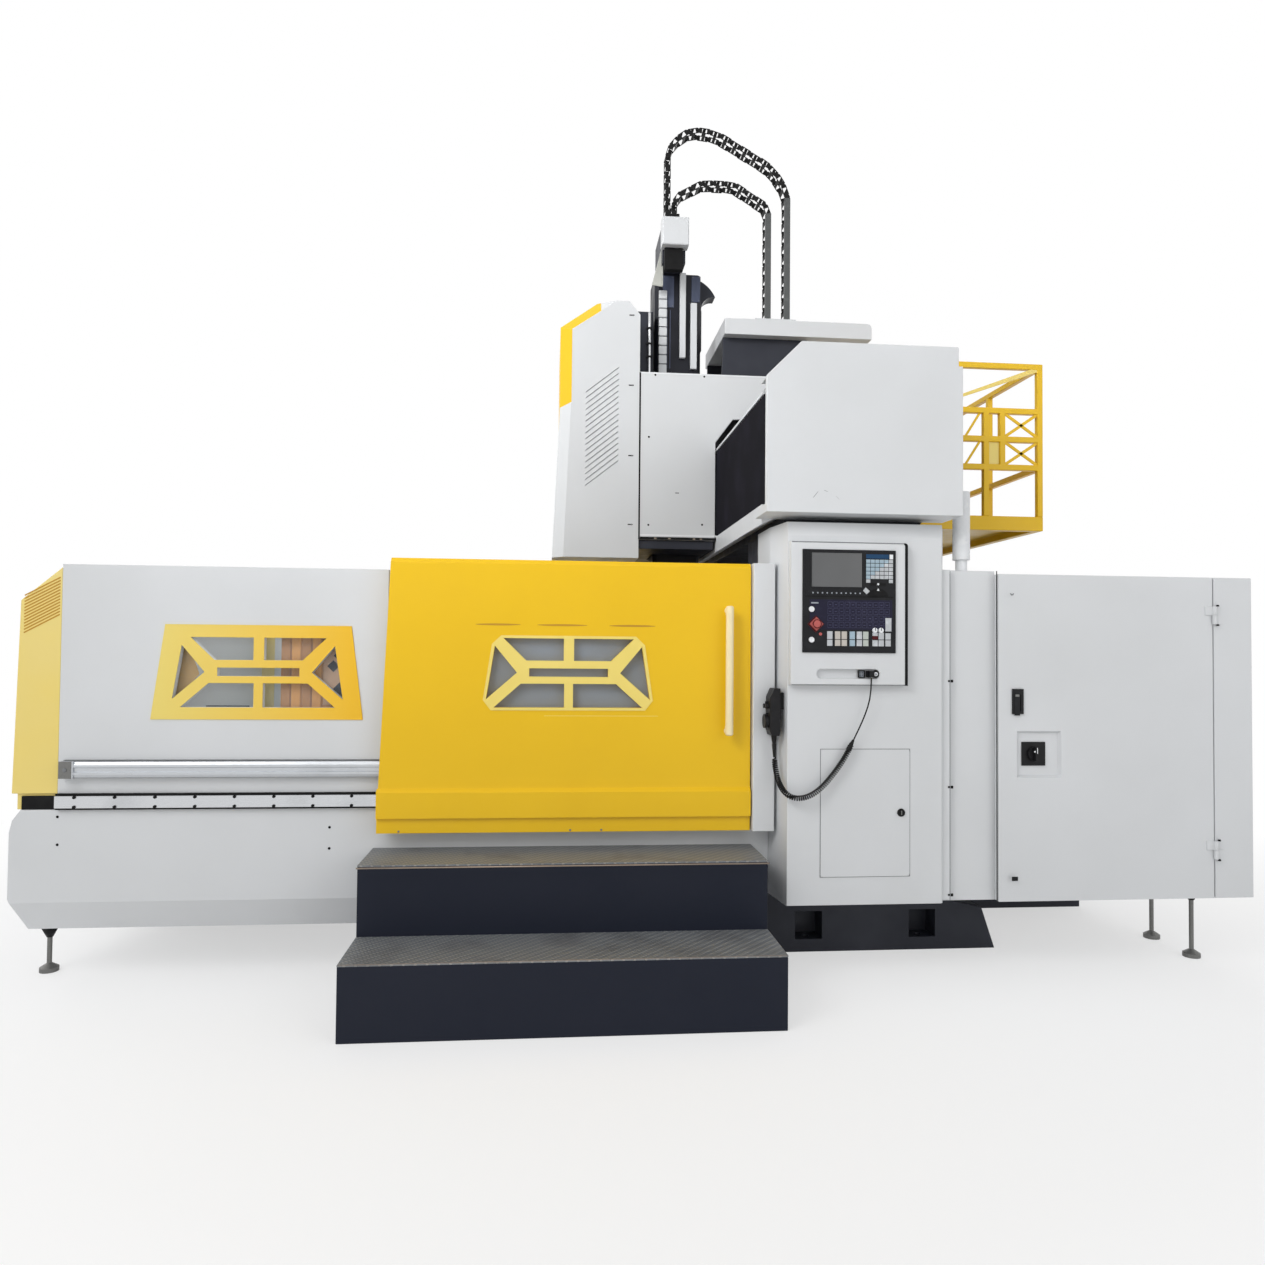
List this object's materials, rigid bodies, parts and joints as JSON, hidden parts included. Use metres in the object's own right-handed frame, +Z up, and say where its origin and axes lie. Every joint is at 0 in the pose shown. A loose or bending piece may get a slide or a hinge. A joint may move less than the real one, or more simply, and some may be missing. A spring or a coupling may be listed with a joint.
{
  "type": "gantry machining center",
  "caption": "Large bridge milling machine with a guarded table, sliding door, travelling head on a crossbeam, steps and electric cabinet.",
  "frame": {"origin": "on the floor under the bed, midway between the two columns and between their front and back faces", "axes": "+X along the table's travel, towards the electric cabinet; +Z up; the operator stands on the -Y side"},
  "size_m": [5.38, 3.909, 4.5472],
  "materials": {
    "machine_casting": "satin",
    "white_sheet": "satin",
    "yellow_paint": "satin",
    "step_paint": "satin",
    "tread_steel": "satin",
    "steel_sheet": "satin",
    "table_iron": "satin",
    "ram_iron": "satin",
    "bright_steel": "polished",
    "rail_steel": "polished",
    "rail_aluminium": "satin",
    "zinc_sheet": "satin",
    "zinc_steel": "satin",
    "bellows_cloth": "matte",
    "black_plastic": "matte",
    "black_panel": "satin",
    "key_caps": "matte",
    "chain_plastic": "matte",
    "white_tube": "satin",
    "window_glass": "clear",
    "cord_jacket": "matte"
  },
  "bodies": {
    "frame": {"access_cover": "white_sheet", "beam_end_covers": "white_sheet", "beam_strips": "white_sheet", "bed": "machine_casting", "bellows_far": "bellows_cloth", "bellows_near": "bellows_cloth", "cabinet": "white_sheet", "cabinet_hinges": "white_sheet", "cabinet_plate": "zinc_sheet", "column_cover_far": "white_sheet", "column_cover_near": "white_sheet", "column_far": "machine_casting", "column_near": "machine_casting", "conduit_pipe": "white_tube", "control_keys": "key_caps", "control_unit": "black_panel", "crossbeam": "machine_casting", "door_cylinder": "rail_aluminium", "door_frame": "white_sheet", "door_track": "rail_steel", "duct_housing": "white_sheet", "end_panels": "yellow_paint", "end_wall": "white_sheet", "far_door": "yellow_paint", "levelling_feet": "zinc_steel", "lower_guards": "white_sheet", "operator_panel": "white_sheet", "pendant": "black_plastic", "pendant_cord": "cord_jacket", "pendant_lead": "cord_jacket", "pendant_socket": "black_plastic", "platform_floor": "yellow_paint", "platform_railing": "yellow_paint", "rear_guard": "white_sheet", "step_treads": "tread_steel", "steps": "step_paint", "upper_guards": "white_sheet", "way_covers": "steel_sheet", "window_glass": "window_glass", "window_plate_near": "yellow_paint", "worktable": "table_iron"},
    "sliding_door": {"sliding_door": "yellow_paint", "door_handle": "white_sheet", "door_glass": "window_glass"},
    "saddle": {"saddle": "machine_casting", "saddle_cover": "white_sheet", "head_cover": "white_sheet", "head_front": "yellow_paint", "chain_deck": "steel_sheet", "chain_outer": "chain_plastic", "chain_inner": "chain_plastic"},
    "ram": {"ram": "ram_iron", "spindle_nose": "bright_steel", "ram_mast": "machine_casting", "ram_ducts": "white_sheet"},
    "cabinet_door": {"cabinet_door": "white_sheet", "cabinet_fittings": "black_plastic"},
    "isolator_knob": {"isolator_knob": "black_plastic"}
  },
  "joints": [
    {"name": "door_slide", "type": "slide", "parent": "frame", "child": "sliding_door", "axis": [-1, 0, 0], "range_m": [0, 1.25]},
    {"name": "saddle_slide", "type": "slide", "parent": "frame", "child": "saddle", "axis": [0, 1, 0], "range_m": [-0.8, 0.8], "deforming": ["bellows_near", "bellows_far"]},
    {"name": "ram_slide", "type": "slide", "parent": "saddle", "child": "ram", "axis": [0, 0, 1], "range_m": [-0.5, 0.2], "deforming": ["chain_outer", "chain_inner"]},
    {"name": "cabinet_door_hinge", "type": "hinge", "parent": "frame", "child": "cabinet_door", "pos_m": [1.605, -1.699, 1.055], "axis": [0, 0, 1], "range_deg": [0, 110]},
    {"name": "isolator_turn", "type": "hinge", "parent": "cabinet_door", "child": "isolator_knob", "pos_m": [0.766, -1.679, 0.981], "axis": [0, 1, 0], "range_deg": [0, 90]}
  ]
}
